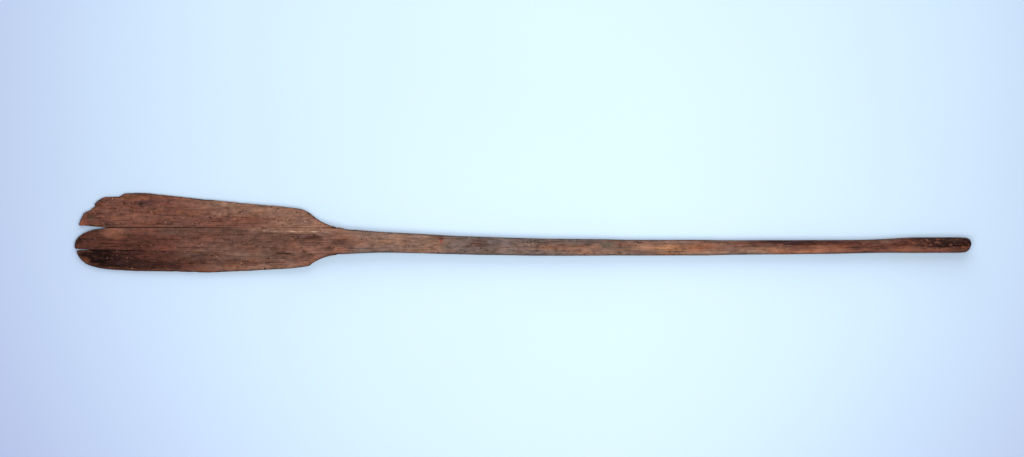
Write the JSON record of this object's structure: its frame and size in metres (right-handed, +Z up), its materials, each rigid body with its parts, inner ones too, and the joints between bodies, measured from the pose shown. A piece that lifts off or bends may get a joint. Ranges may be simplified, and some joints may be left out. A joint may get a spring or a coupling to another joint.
{
  "type": "rowing oar",
  "caption": "Weathered flat-bladed wooden rowing oar: one through timber from grip to blade tip with a side board pegged along each edge of the blade.",
  "frame": {"origin": "on the surface that the oar lies on, below the centre of its bounding box, which is about midway along its length", "axes": "+X along the oar from the blade to the grip, +Z up out of the blade's face, +Y across the blade towards the wide side board"},
  "size_m": [1.8299, 0.164, 0.0359],
  "materials": {
    "loom_timber": "matte, dry, weathered",
    "wide_wing_timber": "matte, dry, weathered",
    "narrow_wing_timber": "matte, stained dark near the tip",
    "peg_timber": "matte, unweathered"
  },
  "bodies": {
    "root": {"loom": "loom_timber", "wide_wing": "wide_wing_timber", "narrow_wing": "narrow_wing_timber", "wide_wing_peg_1": "peg_timber", "wide_wing_peg_2": "peg_timber", "wide_wing_peg_3": "peg_timber", "wide_wing_peg_4": "peg_timber", "narrow_wing_peg_1": "peg_timber", "narrow_wing_peg_2": "peg_timber", "narrow_wing_peg_3": "peg_timber", "narrow_wing_peg_4": "peg_timber"}
  },
  "joints": []
}
